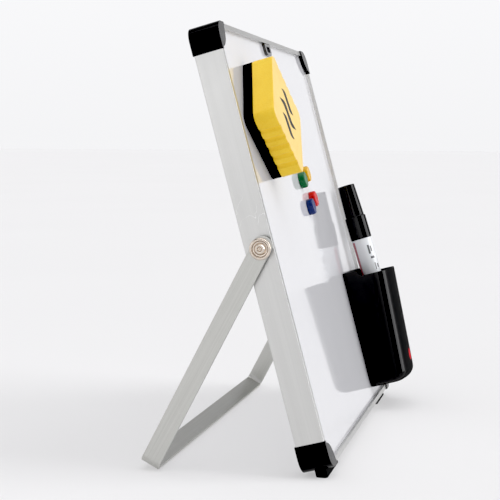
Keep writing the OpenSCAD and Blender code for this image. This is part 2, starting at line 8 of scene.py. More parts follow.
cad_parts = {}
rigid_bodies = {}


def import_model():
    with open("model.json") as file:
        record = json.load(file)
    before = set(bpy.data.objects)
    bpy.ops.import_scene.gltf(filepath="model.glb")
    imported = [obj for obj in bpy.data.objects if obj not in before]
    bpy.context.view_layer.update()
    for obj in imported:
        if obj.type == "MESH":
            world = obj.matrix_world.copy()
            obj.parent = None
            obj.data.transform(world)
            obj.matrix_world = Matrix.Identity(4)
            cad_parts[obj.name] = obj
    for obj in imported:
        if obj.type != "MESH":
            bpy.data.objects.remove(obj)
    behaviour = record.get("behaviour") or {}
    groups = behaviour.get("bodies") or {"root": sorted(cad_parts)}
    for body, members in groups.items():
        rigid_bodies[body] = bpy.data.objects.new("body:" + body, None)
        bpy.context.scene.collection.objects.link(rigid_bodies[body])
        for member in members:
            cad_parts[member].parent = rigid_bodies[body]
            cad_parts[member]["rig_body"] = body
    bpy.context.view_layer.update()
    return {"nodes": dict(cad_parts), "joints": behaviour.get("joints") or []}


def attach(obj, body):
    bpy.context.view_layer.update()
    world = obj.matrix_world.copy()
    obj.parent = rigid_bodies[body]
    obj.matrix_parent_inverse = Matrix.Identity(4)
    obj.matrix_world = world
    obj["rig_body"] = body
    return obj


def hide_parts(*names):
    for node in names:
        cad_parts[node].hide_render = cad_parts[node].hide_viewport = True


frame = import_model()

# Frame rails: four lengths of thin aluminium channel, extruded, satin anodised and sawn off square.
# They are pushed over the prongs of the corner caps, and their lips hold the edges of the panel.
MM = 0.001
joints = {joint["name"]: joint for joint in frame["joints"]}
pivot = Vector(joints["stand_pivot"]["pos_m"])
lean = math.asin(joints["eraser_lift"]["axis"][2])
board_place = Matrix.Translation(pivot) @ Matrix.Rotation(-lean, 4, "X")


def box_in(place, node):
    """Lowest and highest corners of a node, measured in the frame of the matrix place."""
    back = place.inverted()
    points = [back @ vertex.co for vertex in frame["nodes"][node].data.vertices]
    return (
        Vector([min(point[axis] for point in points) for axis in range(3)]),
        Vector([max(point[axis] for point in points) for axis in range(3)]),
    )


def feed(tree, socket, value):
    """Gives an input what it takes: another socket is linked, and a plain value is set."""
    if isinstance(value, bpy.types.NodeSocket):
        tree.links.new(value, socket)
    else:
        socket.default_value = value


def add_node(tree, kind, inputs=None, **settings):
    """Adds a shader node with its settings and inputs."""
    node = tree.nodes.new("ShaderNode" + kind)
    for label, value in settings.items():
        setattr(node, label, value)
    for label, value in (inputs or {}).items():
        feed(tree, node.inputs[label], value)
    return node


def new_group(name, inputs, outputs):
    """Starts a node group with named inputs and their defaults, and named outputs."""
    group = bpy.data.node_groups.new(name, "ShaderNodeTree")
    for label, value in inputs.items():
        kind = "NodeSocketVector" if isinstance(value, tuple) else "NodeSocketFloat"
        socket = group.interface.new_socket(label, in_out="INPUT", socket_type=kind)
        socket.default_value = value
    for label, kind in outputs.items():
        group.interface.new_socket(label, in_out="OUTPUT", socket_type="NodeSocket" + kind)
    return group, group.nodes.new("NodeGroupInput").outputs, group.nodes.new("NodeGroupOutput").inputs


def use_group(tree, group, inputs):
    """Places a group in a material with that material's own values."""
    node = tree.nodes.new("ShaderNodeGroup")
    node.node_tree = group
    for label, value in inputs.items():
        feed(tree, node.inputs[label], value)
    return node.outputs


def calculate(tree, operation, first, second=0.0, third=0.0):
    """Math node on sockets or numbers."""
    return add_node(tree, "Math", {0: first, 1: second, 2: third}, operation=operation).outputs[0]


def blend_colours(tree, share, first, second):
    """Mix node between two colours."""
    node = add_node(tree, "Mix", {"Factor": share}, data_type="RGBA")
    for socket, value in ((node.inputs[6], first), (node.inputs[7], second)):
        feed(tree, socket, value if isinstance(value, bpy.types.NodeSocket) else (*value, 1))
    return node.outputs[2]


def rescale(tree, value, low, high, to_low, to_high):
    """Map Range node, clamped."""
    return add_node(tree, "MapRange", {
        "Value": value, "From Min": low, "From Max": high, "To Min": to_low, "To Max": to_high,
    }).outputs[0]


def new_material(name, settings):
    """Starts a material. Settings that hold all over it are set on the Principled shader itself."""
    material = bpy.data.materials.new(name)
    material.use_nodes = True
    shader = material.node_tree.nodes["Principled BSDF"]
    for label, value in settings.items():
        shader.inputs[label].default_value = value
    return material, material.node_tree, shader


def object_place(tree):
    """Where a point is in the object as it stands at rest, in metres."""
    return add_node(tree, "TexCoord").outputs["Object"]


def set_surface(tree, shader, colour, height, depth, rough=None):
    """Links a material's colour, a bump of a real depth in metres and, where it varies, the roughness."""
    tree.links.new(colour, shader.inputs["Base Color"])
    bump = add_node(tree, "Bump", {"Strength": 1.0, "Distance": depth, "Height": height})
    tree.links.new(bump.outputs[0], shader.inputs["Normal"])
    if rough is not None:
        tree.links.new(rough, shader.inputs["Roughness"])


def board_coordinates():
    """Group that turns a place in the object into across, depth and height on the leaning board."""
    group, given, result = new_group("Board Coordinates", {"Place": (0.0, 0.0, 0.0)}, {"Place": "Vector"})
    moved = add_node(group, "VectorMath", {0: given["Place"], 1: pivot}, operation="SUBTRACT")
    turned = add_node(group, "VectorRotate", {"Vector": moved.outputs[0], "Angle": lean},
                      rotation_type="X_AXIS")
    group.links.new(turned.outputs[0], result["Place"])
    return group


BOARD_COORDINATES = board_coordinates()


def drawn_lines():
    """Group for the fine lines that drawing, rolling or brushing leaves along a metal."""
    group, given, result = new_group(
        "Drawn Lines",
        {"Place": (0.0, 0.0, 0.0), "Stretch": (1.0, 1.0, 1.0), "Scale": 900.0},
        {"Lines": "Float", "Streaks": "Float"},
    )
    run = add_node(group, "VectorMath", {0: given["Place"], 1: given["Stretch"]}, operation="MULTIPLY")
    fine = add_node(group, "TexNoise", {"Vector": run.outputs[0], "Scale": given["Scale"], "Detail": 4.0})
    broad_scale = calculate(group, "MULTIPLY", given["Scale"], 0.12)
    broad = add_node(group, "TexNoise", {"Vector": run.outputs[0], "Scale": broad_scale, "Detail": 2.0})
    group.links.new(rescale(group, fine.outputs["Fac"], 0.3, 0.7, 0.0, 1.0), result["Lines"])
    group.links.new(rescale(group, broad.outputs["Fac"], 0.35, 0.65, 0.0, 1.0), result["Streaks"])
    return group


DRAWN_LINES = drawn_lines()


def lines_on(tree, place, stretch, scale):
    """Drawn lines in a material, with their own direction and scale."""
    return use_group(tree, DRAWN_LINES, {"Place": place, "Stretch": stretch, "Scale": scale})


def handling_marks():
    """Group for smudges and faint scuffs: broad patches, and a few thin scratches."""
    group, given, result = new_group(
        "Handling Marks",
        {"Place": (0.0, 0.0, 0.0), "Patch Scale": 25.0, "Scratch Scale": 60.0},
        {"Smudge": "Float", "Scratch": "Float"},
    )
    patch = add_node(group, "TexNoise", {
        "Vector": given["Place"], "Scale": given["Patch Scale"], "Detail": 5.0, "Distortion": 0.6,
    })
    wave = add_node(group, "TexNoise", {
        "Vector": given["Place"], "Scale": given["Scratch Scale"], "Detail": 1.0, "Distortion": 1.5,
    })
    thin = calculate(group, "ABSOLUTE", calculate(group, "SUBTRACT", wave.outputs["Fac"], 0.5))
    line = rescale(group, thin, 0.0, 0.004, 1.0, 0.0)
    sparse = rescale(group, patch.outputs["Fac"], 0.58, 0.68, 0.0, 1.0)
    group.links.new(rescale(group, patch.outputs["Fac"], 0.35, 0.7, 0.0, 1.0), result["Smudge"])
    group.links.new(calculate(group, "MULTIPLY", line, sparse), result["Scratch"])
    return group


HANDLING_MARKS = handling_marks()


def marks_on(tree, place, patch, scratch):
    """Handling marks in a material, with its own scales of patches and scratches."""
    return use_group(tree, HANDLING_MARKS, {"Place": place, "Patch Scale": patch, "Scratch Scale": scratch})


def satin_aluminium(name, colour, stretch):
    """Anodised aluminium with drawn lines along its length."""
    material, tree, shader = new_material(name, {"Metallic": 1.0})
    place = use_group(tree, BOARD_COORDINATES, {"Place": object_place(tree)})["Place"]
    lines = lines_on(tree, place, stretch, 2400.0)
    marks = marks_on(tree, place, 22.0, 45.0)
    darker = [channel * 0.93 for channel in colour]
    streaks = calculate(tree, "MULTIPLY", lines["Streaks"], 0.5)
    shade = calculate(tree, "MULTIPLY_ADD", lines["Lines"], 0.5, streaks)
    base = blend_colours(tree, shade, darker, colour)
    base = blend_colours(tree, marks["Scratch"], base, [0.95] * 3)
    rough = calculate(tree, "MULTIPLY_ADD", lines["Lines"], 0.07, 0.27)
    rough = calculate(tree, "MULTIPLY_ADD", marks["Smudge"], 0.06, rough)
    set_surface(tree, shader, base, lines["Lines"], 0.004 * MM, rough)
    return material


RAIL_COLOUR = (0.655, 0.655, 0.642)
ALONG_HEIGHT = (1.0, 1.0, 0.01)
ALONG_WIDTH = (0.01, 1.0, 1.0)
upright_rail = satin_aluminium("satin anodised upright rail", RAIL_COLOUR, ALONG_HEIGHT)
level_rail = satin_aluminium("satin anodised level rail", RAIL_COLOUR, ALONG_WIDTH)


def dress(material, *nodes):
    """Gives CAD nodes that keep their own shape a finish."""
    for node in nodes:
        mesh = frame["nodes"][node].data
        mesh.materials.clear()
        mesh.materials.append(material)


dress(upright_rail, "rail_left", "rail_right")
dress(level_rail, "rail_top", "rail_bottom")

# Writing panel: two enamelled steel sheets on a fibre core, wrapped by the rails.
# The enamel is a fired gloss white that mirrors what is near it at a low angle.


def gloss_enamel():
    """White enamel with wiping marks and the faint waviness of a fired coat."""
    material, tree, shader = new_material("gloss white enamel", {"IOR": 1.52})
    place = use_group(tree, BOARD_COORDINATES, {"Place": object_place(tree)})["Place"]
    marks = marks_on(tree, place, 14.0, 30.0)
    white = blend_colours(tree, marks["Smudge"], (0.67, 0.67, 0.69), (0.655, 0.655, 0.675))
    rough = calculate(tree, "MULTIPLY_ADD", marks["Smudge"], 0.03, 0.045)
    rough = calculate(tree, "MULTIPLY_ADD", marks["Scratch"], 0.1, rough)
    peel = add_node(tree, "TexNoise", {"Vector": place, "Scale": 160.0, "Detail": 1.0}).outputs["Fac"]
    set_surface(tree, shader, white, peel, 0.002 * MM, rough)
    return material


def fibre_core():
    """Brown board of pressed fibres, seen only where the panel is open."""
    material, tree, shader = new_material("pressed fibre core", {"Roughness": 0.9})
    fibres = lines_on(tree, object_place(tree), (1.0, 1.0, 0.2), 900.0)
    colour = blend_colours(tree, fibres["Lines"], (0.30, 0.20, 0.11), (0.52, 0.38, 0.24))
    set_surface(tree, shader, colour, fibres["Lines"], 0.08 * MM)
    return material


dress(gloss_enamel(), "front_sheet", "back_sheet")
dress(fibre_core(), "core_panel")

# Corner caps: black nylon mouldings that join the rails at each corner, with a petal on each face.
# Their sharp edges are broken by the mould, and they carry a fine spark-eroded grain.


def moulded_grain():
    """Group for the grain that a spark-eroded mould leaves on plastic, with its worn high spots."""
    group, given, result = new_group(
        "Moulded Grain",
        {"Place": (0.0, 0.0, 0.0), "Grain Scale": 1800.0},
        {"Grain": "Float", "Worn": "Float"},
    )
    grain = add_node(group, "TexNoise", {
        "Vector": given["Place"], "Scale": given["Grain Scale"], "Detail": 3.0,
    })
    point = add_node(group, "NewGeometry").outputs["Pointiness"]
    edge = rescale(group, point, 0.52, 0.6, 0.0, 1.0)
    broken = rescale(group, grain.outputs["Fac"], 0.35, 0.65, 0.3, 1.0)
    group.links.new(rescale(group, grain.outputs["Fac"], 0.3, 0.7, 0.0, 1.0), result["Grain"])
    group.links.new(calculate(group, "MULTIPLY", edge, broken), result["Worn"])
    return group


MOULDED_GRAIN = moulded_grain()


def moulded_plastic(name, colour, worn_colour, roughness, specular=0.5, grain_depth=0.006 * MM):
    """Injection-moulded plastic with a fine grain, smudges and paler worn edges."""
    material, tree, shader = new_material(name, {"Specular IOR Level": specular})
    place = object_place(tree)
    grain = use_group(tree, MOULDED_GRAIN, {"Place": place})
    marks = marks_on(tree, place, 60.0, 120.0)
    worn = calculate(tree, "MAXIMUM", calculate(tree, "MULTIPLY", grain["Worn"], 0.6), marks["Scratch"])
    base = blend_colours(tree, worn, colour, worn_colour)
    rough = calculate(tree, "MULTIPLY_ADD", marks["Smudge"], 0.08, roughness - 0.04)
    set_surface(tree, shader, base, grain["Grain"], grain_depth, rough)
    return material


def finish_mesh(obj):
    """Smooth shading that leans on the large faces, so that flats stay flat beside rounded edges."""
    obj.data.shade_smooth()
    normals = obj.modifiers.new("Flat faces", "WEIGHTED_NORMAL")
    normals.weight = 60
    normals.keep_sharp = False


def add_piece(name, shape, place, body, slot, material, *nodes):
    """Makes a piece from a bmesh drawn in the frame of the matrix place, in metres."""
    bmesh.ops.recalc_face_normals(shape, faces=shape.faces)
    shape.transform(place)
    mesh = bpy.data.meshes.new(name)
    shape.to_mesh(mesh)
    shape.free()
    mesh.materials.append(material)
    obj = bpy.data.objects.new(name, mesh)
    bpy.context.scene.collection.objects.link(obj)
    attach(obj, body)
    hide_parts(*nodes)
    return obj


WELD = 0.002 * MM
FLAT_WITHIN = math.radians(1)
SHARP_FROM = math.radians(35)


def soften(node, radius, slot, material):
    """Shows a node with its sharp edges rounded, in place of the plain one."""
    source = frame["nodes"][node]
    shape = bmesh.new()
    shape.from_mesh(source.data)
    bmesh.ops.remove_doubles(shape, verts=shape.verts, dist=WELD)
    bmesh.ops.dissolve_limit(shape, angle_limit=FLAT_WITHIN, verts=shape.verts, edges=shape.edges)
    obj = add_piece(node + "_finished", shape, Matrix.Identity(4), source["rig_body"], slot, material, node)
    bevel = obj.modifiers.new("Rounded edges", "BEVEL")
    bevel.width = radius
    bevel.segments = 3
    bevel.limit_method = "ANGLE"
    bevel.angle_limit = SHARP_FROM
    finish_mesh(obj)


CAP_EDGE_R = 0.35 * MM
BLACK_SPECULAR = 0.12
DEEP_BLACK = (0.0015, 0.0015, 0.0017)
WORN_BLACK = (0.02, 0.02, 0.02)
black_nylon = moulded_plastic("black nylon cap", DEEP_BLACK, WORN_BLACK, 0.2, BLACK_SPECULAR * 1.3)
for corner in ("top_left", "top_right", "bottom_left", "bottom_right"):
    soften("corner_cap_" + corner, CAP_EDGE_R, "corner_cap", black_nylon)

# Hanging loop: a flat black plastic ring on the writing face, clipped behind the top rail's lip.
# It is moulded from the same stock as the caps, a little glossier.
LOOP_EDGE_R = 0.3 * MM
loop_plastic = moulded_plastic("black loop plastic", (0.008, 0.008, 0.009), (0.03, 0.03, 0.035), 0.14,
                               BLACK_SPECULAR * 8)
soften("hanging_loop", LOOP_EDGE_R, "loop", loop_plastic)

# Feet: two strips of soft black rubber glued under the bottom rail and caps, cut level with the table.
# They are dull and a little dusty, with rounded edges.
FOOT_EDGE_R = 0.5 * MM


def foot_rubber():
    """Black rubber with a matt skin and dust in patches."""
    material, tree, shader = new_material("black foot rubber", {
        "Roughness": 0.7, "Specular IOR Level": BLACK_SPECULAR,
    })
    place = object_place(tree)
    grain = use_group(tree, MOULDED_GRAIN, {"Place": place, "Grain Scale": 1200.0})
    marks = marks_on(tree, place, 90.0, 90.0)
    dust = calculate(tree, "MULTIPLY", marks["Smudge"], 0.5)
    colour = blend_colours(tree, dust, (0.003, 0.003, 0.003), (0.014, 0.014, 0.013))
    set_surface(tree, shader, colour, grain["Grain"], 0.02 * MM)
    return material


rubber = foot_rubber()
for foot in ("foot_left", "foot_right"):
    soften(foot, FOOT_EDGE_R, "foot", rubber)

# Pivots: at each side a rivet passes through a cup washer, the arm, a nylon spacer and the rail,
# into a block behind the rail. The washer and rivet are turned steel with a warm nickel plate.
PIVOT_SIDES = {"left": -1, "right": 1}
WASHER_BORE_R = 2.55 * MM
WASHER_FLOOR = 0.7 * MM
WASHER_FLOOR_R = 0.3 * MM
WASHER_EDGE_R = 0.08 * MM
RIM_STEPS = 12
RIM_ROLLED_STEPS = 14
SHANK_R = 2.5 * MM
SHANK_END_R = 0.4 * MM
HEAD_SEAT_GAP = 0.05 * MM
HEAD_R = 3.5 * MM
HEAD_LIP = 0.3 * MM
HEAD_TOP_R = 2.4 * MM
DIMPLE_MOUTH_R = 1.5 * MM
DIMPLE_FLOOR_R = 0.9 * MM
DIMPLE_DEPTH = 1.0 * MM
PIP_FOOT_R = 0.45 * MM
PIP_TOP_R = 0.25 * MM
PIP_TOP_DROP = 0.6 * MM
PIP_CROWN_DROP = 0.55 * MM
SPACER_EDGE_R = 0.2 * MM
SHARE_OF_SIDE = 0.49
TURNED_STEPS = 96
ON_AXIS = 0.0001 * MM


def fillet(corners, steps=4):
    """Rounds an open outline of (radius, height, fillet). A fillet of 0 keeps its corner sharp.

    No fillet takes more than SHARE_OF_SIDE of the sides next to it.
    """
    points = [Vector(corner[:2]) for corner in corners]
    outline = []
    for index, point in enumerate(points):
        radius = corners[index][2]
        if not radius or index in (0, len(points) - 1):
            outline.append(point)
            continue
        before = points[index - 1] - point
        after = points[index + 1] - point
        half = before.angle(after) / 2
        reach = min(radius / math.tan(half), before.length * SHARE_OF_SIDE, after.length * SHARE_OF_SIDE)
        start = point + before.normalized() * reach
        end = point + after.normalized() * reach
        for step in range(steps + 1):
            share = step / steps
            outline.append(start.lerp(point, share).lerp(point.lerp(end, share), share))
    return outline


def revolve(outline):
    """Turns an outline of (radius, height) about the z axis. A radius of 0 closes the form."""
    shape = bmesh.new()
    rings = []
    angles = [2 * math.pi * step / TURNED_STEPS for step in range(TURNED_STEPS)]
    for radius, height in outline:
        if radius < ON_AXIS:
            rings.append([shape.verts.new((0, 0, height))])
            continue
        points = [(radius * math.cos(angle), radius * math.sin(angle), height) for angle in angles]
        rings.append([shape.verts.new(point) for point in points])
    for low, high in zip(rings, rings[1:]):
        for step in range(TURNED_STEPS):
            corners = [low[step % len(low)], low[(step + 1) % len(low)]]
            corners += [high[(step + 1) % len(high)], high[step % len(high)]]
            corners = list(dict.fromkeys(corners))
            if len(corners) > 2:
                shape.faces.new(corners)
    return shape


def turned_nickel(name, colour, roughness):
    """Nickel plate over turned steel, with the rings that the tool left."""
    material, tree, shader = new_material(name, {"Metallic": 1.0})
    place = use_group(tree, BOARD_COORDINATES, {"Place": object_place(tree)})["Place"]
    parts = add_node(tree, "SeparateXYZ", {"Vector": place}).outputs
    squares = calculate(tree, "MULTIPLY", parts["Z"], parts["Z"])
    squares = calculate(tree, "MULTIPLY_ADD", parts["Y"], parts["Y"], squares)
    radius = calculate(tree, "SQRT", squares)
    rings = add_node(tree, "TexNoise", {"W": calculate(tree, "MULTIPLY", radius, 9000.0), "Detail": 2.0},
                     noise_dimensions="1D").outputs["Fac"]
    marks = marks_on(tree, place, 300.0, 300.0)
    tarnish = [channel * 0.62 for channel in colour]
    tarnished = calculate(tree, "MULTIPLY", marks["Smudge"], 0.35)
    base = blend_colours(tree, tarnished, colour, tarnish)
    rough = calculate(tree, "MULTIPLY_ADD", rings, 0.08, roughness - 0.04)
    set_surface(tree, shader, base, rings, 0.006 * MM, rough)
    return material


nickel = turned_nickel("warm nickel plate", (0.74, 0.66, 0.58), 0.16)
nylon = moulded_plastic("grey nylon spacer", (0.16, 0.16, 0.16), (0.3, 0.3, 0.3), 0.5)
extruded_block = satin_aluminium("as-extruded anchor block", (0.66, 0.66, 0.65), ALONG_HEIGHT)
dress(extruded_block, "anchor_left", "anchor_right")


def close_bore(shape):
    """Joins the two open ends of a turned outline, so that the piece has its bore as a closed wall."""
    bmesh.ops.bridge_loops(shape, edges=[edge for edge in shape.edges if edge.is_boundary])


def cup_washer(low, high):
    """Cup washer along z, between its box corners: a flat floor and a rim that is rolled over."""
    seat = low.z
    rim = (high.z - seat) / 2
    rim_middle = high.x - rim
    floor_top = seat + WASHER_FLOOR
    outline = [(WASHER_BORE_R, seat), (rim_middle, seat)]
    for step in range(1, RIM_ROLLED_STEPS + 1):
        angle = math.pi * step / RIM_STEPS
        outline.append((rim_middle + rim * math.sin(angle), seat + rim - rim * math.cos(angle)))
    outline += fillet([
        (*outline[-1], 0),
        (high.x - 2 * rim, floor_top, WASHER_FLOOR_R),
        (WASHER_BORE_R, floor_top, WASHER_EDGE_R),
        (WASHER_BORE_R, seat, 0),
    ])[1:-1]
    shape = revolve(outline)
    close_bore(shape)
    return shape


def rivet(tail, top, seat):
    """Rivet along z, from its tail to its top: the head stands on seat and has a dimple with a pip."""
    return revolve(fillet([
        (0, tail, 0),
        (SHANK_R, tail, SHANK_END_R),
        (SHANK_R, seat, 0),
        (HEAD_R, seat, 0.1 * MM),
        (HEAD_R, seat + HEAD_LIP, 0.12 * MM),
        (HEAD_TOP_R, top, 0.35 * MM),
        (DIMPLE_MOUTH_R, top, 0.3 * MM),
        (DIMPLE_FLOOR_R, top - DIMPLE_DEPTH, 0.25 * MM),
        (PIP_FOOT_R, top - DIMPLE_DEPTH, 0.1 * MM),
        (PIP_TOP_R, top - PIP_TOP_DROP, 0.12 * MM),
        (0, top - PIP_CROWN_DROP, 0),
    ]))


for side, sign in PIVOT_SIDES.items():
    outwards = board_place @ Matrix.Rotation(sign * math.pi / 2, 4, "Y")
    washer_node, rivet_node = "cup_washer_" + side, "pivot_rivet_" + side
    low, high = box_in(outwards, washer_node)
    tail, head = box_in(outwards, rivet_node)
    for node, shape in (
        (washer_node, cup_washer(low, high)),
        (rivet_node, rivet(tail.z, head.z, low.z + WASHER_FLOOR + HEAD_SEAT_GAP)),
    ):
        finish_mesh(add_piece(node + "_finished", shape, outwards, "board", "pivot", nickel, node))
    soften("spacer_" + side, SPACER_EDGE_R, "spacer", nylon)

# Stand: one flat aluminium bar, bent twice into a bail, with a round eye at each end.
# It is brushed along its length before the bends, and satin anodised like the rails.
BAR_EDGE_R = 0.4 * MM
BAR_BEND = 6 * MM
BEND_BLEND = 2 * MM
pivot_place = Matrix.Translation(pivot)
stand_low, stand_high = box_in(pivot_place, "stand")
stand_angle = math.atan2(stand_high.y, -stand_low.z)
stand_place = pivot_place @ Matrix.Rotation(stand_angle, 4, "X")


def brushed_bar():
    """Brushed along the bar: the arms and the crossbar take their lines from different directions."""
    material, tree, shader = new_material("brushed anodised bar", {"Metallic": 1.0})
    moved = add_node(tree, "VectorMath", {0: object_place(tree), 1: pivot}, operation="SUBTRACT")
    turned = add_node(tree, "VectorRotate", {"Vector": moved.outputs[0], "Angle": -stand_angle},
                      rotation_type="X_AXIS").outputs[0]
    arms = lines_on(tree, turned, ALONG_HEIGHT, 1900.0)
    bar = lines_on(tree, turned, ALONG_WIDTH, 1900.0)
    across = calculate(tree, "ABSOLUTE", add_node(tree, "SeparateXYZ", {"Vector": turned}).outputs["X"])
    bend_start = -box_in(stand_place, "stand")[0].x - BAR_BEND
    on_arm = rescale(tree, across, bend_start, bend_start + BEND_BLEND, 0.0, 1.0)
    lines = add_node(tree, "Mix", {"Factor": on_arm, 2: bar["Lines"], 3: arms["Lines"]}).outputs[0]
    marks = marks_on(tree, turned, 26.0, 50.0)
    base = blend_colours(tree, lines, (0.53, 0.53, 0.505), (0.60, 0.60, 0.575))
    base = blend_colours(tree, marks["Scratch"], base, (0.85, 0.85, 0.84))
    rough = calculate(tree, "MULTIPLY_ADD", lines, 0.08, 0.33)
    rough = calculate(tree, "MULTIPLY_ADD", marks["Smudge"], 0.06, rough)
    set_surface(tree, shader, base, lines, 0.006 * MM, rough)
    return material


soften("stand", BAR_EDGE_R, "stand", brushed_bar())

# Eraser: a square of closed-cell yellow foam with finger grooves on two sides, glued to black felt.
# A magnet lies between them, and the foam's face is printed with three loose strokes of black.
ERASER_CORNER_R = 5 * MM
GROOVE_COUNT = 5
GROOVE_PITCH = 7.2 * MM
GROOVE_R = 2.16 * MM
GROOVE_DEPTH = 1.1 * MM
FOAM_EDGE_R = 0.7 * MM
FOAM_WAVER = 0.03 * MM
FOAM_SEED = 3.0
FELT_INSET = 0.15 * MM
FELT_EDGE_R = 0.5 * MM
FELT_WAVER = 0.22 * MM
FELT_SEED = 0.0
GLUE_GAP = 0.02 * MM
WAVER_LENGTH = 0.9 * MM
SLAB_SIDE_STEPS = 160
SLAB_CORNER_STEPS = 12
SLAB_EDGE_STEPS = 5
SLAB_WALL_STEPS = 6
SLAB_FACE_RINGS = (0.02, 0.4, 0.75, 0.93)


def groove_cut(run, grooves):
    """How deep the side is cut in at a distance along it from its middle."""
    depth = 0.0
    for index in range(grooves):
        middle = (index - (grooves - 1) / 2) * GROOVE_PITCH
        inside = GROOVE_R**2 - (run - middle) ** 2
        if inside > 0:
            depth = max(depth, math.sqrt(inside) - GROOVE_R + GROOVE_DEPTH)
    return depth


def slab_outline(side, grooves):
    """Outline of the eraser: a rounded square, with a number of grooves in its left and right sides."""
    half = side / 2
    middle = half - ERASER_CORNER_R
    outline = []
    for quarter in range(4):
        turn = Matrix.Rotation(quarter * math.pi / 2, 2)
        grooves_here = grooves if quarter % 2 == 0 else 0
        for step in range(SLAB_SIDE_STEPS):
            run = -half + ERASER_CORNER_R + (side - 2 * ERASER_CORNER_R) * step / SLAB_SIDE_STEPS
            outline.append(turn @ Vector((half - groove_cut(run, grooves_here), run)))
        for step in range(SLAB_CORNER_STEPS):
            angle = math.pi / 2 * step / SLAB_CORNER_STEPS
            across = middle + ERASER_CORNER_R * math.cos(angle)
            along = middle + ERASER_CORNER_R * math.sin(angle)
            outline.append(turn @ Vector((across, along)))
    return outline


def skin(shape, rings):
    """Joins rings of as many points each by faces, and closes the first and the last ring."""
    count = len(rings[0])
    for first, second in zip(rings, rings[1:]):
        for step in range(count):
            after = (step + 1) % count
            shape.faces.new((first[step], first[after], second[after], second[step]))
    shape.faces.new(rings[0])
    shape.faces.new(rings[-1])


def slab(outline, low, high, edge, waver, seed):
    """Slab between two heights with rounded rims: rings of the outline, and a fan of rings on each face.

    Its sides waver a little, as cut felt and foam do.
    """
    shape = bmesh.new()
    arc = [math.pi / 2 * step / SLAB_EDGE_STEPS for step in range(SLAB_EDGE_STEPS + 1)]
    wall = high - low - 2 * edge
    profile = [(edge * (1 - math.sin(angle)), low + edge * (1 - math.cos(angle))) for angle in arc]
    profile += [(0.0, low + edge + wall * step / SLAB_WALL_STEPS) for step in range(1, SLAB_WALL_STEPS)]
    profile += [(edge * (1 - math.cos(angle)), high - edge * (1 - math.sin(angle))) for angle in arc]
    rings = []
    for scale in SLAB_FACE_RINGS:
        rings.append([(*(point * scale - point.normalized() * edge), low) for point in outline])
    for inset, height in profile:
        ring = []
        for point in outline:
            away = point.normalized()
            spot = point - away * inset
            wobble = noise.noise(Vector((spot.x, spot.y, height + seed)) / WAVER_LENGTH)
            ring.append((*(spot + away * wobble * waver), height))
        rings.append(ring)
    for scale in reversed(SLAB_FACE_RINGS):
        rings.append([(*(point * scale - point.normalized() * edge), high) for point in outline])
    skin(shape, [[shape.verts.new(point) for point in ring] for ring in rings])
    return shape


def own_axes(tree, place, frame_matrix):
    """Coordinates of a place along the three axes of a piece's own frame."""
    parts = add_node(tree, "SeparateXYZ", {"Vector": place}).outputs
    axes = []
    for row in frame_matrix.inverted()[:3]:
        total = calculate(tree, "MULTIPLY_ADD", parts["X"], row[0], row[3])
        total = calculate(tree, "MULTIPLY_ADD", parts["Y"], row[1], total)
        axes.append(calculate(tree, "MULTIPLY_ADD", parts["Z"], row[2], total))
    return axes


def black_felt():
    """Black felt of matted fibres, with paler lint on its high spots."""
    material, tree, shader = new_material("pressed black felt", {
        "Roughness": 1.0, "Specular IOR Level": 0.1,
    })
    place = object_place(tree)
    fibres = add_node(tree, "TexNoise", {
        "Vector": place, "Scale": 2600.0, "Detail": 6.0, "Distortion": 2.0,
    })
    tufts = add_node(tree, "TexNoise", {"Vector": place, "Scale": 500.0, "Detail": 3.0})
    height = calculate(tree, "MULTIPLY_ADD", fibres.outputs["Fac"], 0.6, tufts.outputs["Fac"])
    lint = rescale(tree, fibres.outputs["Fac"], 0.6, 0.78, 0.0, 0.6)
    colour = blend_colours(tree, lint, (0.002, 0.002, 0.0022), (0.02, 0.02, 0.022))
    set_surface(tree, shader, colour, height, 0.18 * MM)
    return material


STROKE_WIDTH = 3.0 * MM
STROKES = (
    # offset from the middle and half length, as shares of half the eraser's side
    (-0.4, 0.42),
    (0.0, 0.6),
    (0.4, 0.42),
)
STROKE_WAVE = 0.9
STROKE_SWING = 0.07


